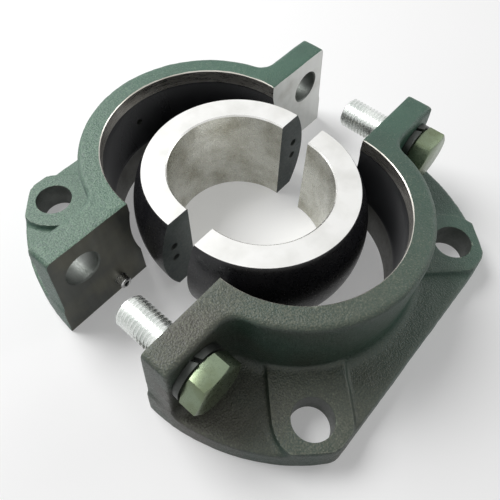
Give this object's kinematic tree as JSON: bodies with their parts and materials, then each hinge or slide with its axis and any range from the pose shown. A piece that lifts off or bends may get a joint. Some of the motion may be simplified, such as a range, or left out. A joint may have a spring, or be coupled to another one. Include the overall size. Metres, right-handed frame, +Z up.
{
  "type": "split plummer block",
  "caption": "Split flange-type plummer block taken apart: square-pattern flange halves with ears, a spherical seat, split plain bush and clamp bolts.",
  "frame": {"origin": "on the floor, midway between the two housing halves as they lie apart, in line with both bore centres", "axes": "+Z up along the bore axes; +Y from the bolted front half to the rear half; +X along the split faces"},
  "size_m": [0.254, 0.267, 0.07],
  "materials": {
    "green_casting": "green paint on rough cast iron, bare machined split faces and seat",
    "bush_metal": "turned end faces, mirror-bright bore, dark spherical back",
    "zinc_steel": "bright zinc plate",
    "spring_steel": "plain spring steel",
    "ground_steel": "ground and bare",
    "nipple_brass": "plated brass"
  },
  "bodies": {
    "front_half": {"housing_front": "green_casting"},
    "rear_half": {"housing_rear": "green_casting", "grease_nipple": "nipple_brass", "dowel_left": "ground_steel", "dowel_right": "ground_steel"},
    "rear_bush": {"bush_rear": "bush_metal"},
    "front_bush": {"bush_front": "bush_metal", "bush_pin_left_lower": "ground_steel", "bush_pin_left_upper": "ground_steel", "bush_pin_right_lower": "ground_steel", "bush_pin_right_upper": "ground_steel"},
    "bolt_left": {"clamp_bolt_left": "zinc_steel", "lock_washer_left": "spring_steel"},
    "bolt_right": {"clamp_bolt_right": "zinc_steel", "lock_washer_right": "spring_steel"}
  },
  "joints": [
    {"name": "close_block", "type": "slide", "parent": "front_half", "child": "rear_half", "axis": [0, -1, 0], "range_m": [0, 0.0708]},
    {"name": "seat_rear_bush", "type": "slide", "parent": "rear_half", "child": "rear_bush", "axis": [0, 0.943, 0.3328], "range_m": [0, 0.02705]},
    {"name": "seat_front_bush", "type": "slide", "parent": "front_half", "child": "front_bush", "axis": [0, -0.943, 0.3328], "range_m": [0, 0.02705]},
    {"name": "withdraw_bolt_left", "type": "slide", "parent": "front_half", "child": "bolt_left", "axis": [0, -1, 0], "range_m": [0, 0.06]},
    {"name": "withdraw_bolt_right", "type": "slide", "parent": "front_half", "child": "bolt_right", "axis": [0, -1, 0], "range_m": [0, 0.06]}
  ],
  "couplings": [
    {"joint": "seat_rear_bush", "follows": "close_block", "ratio": 0.38194},
    {"joint": "seat_front_bush", "follows": "close_block", "ratio": 0.38194}
  ]
}
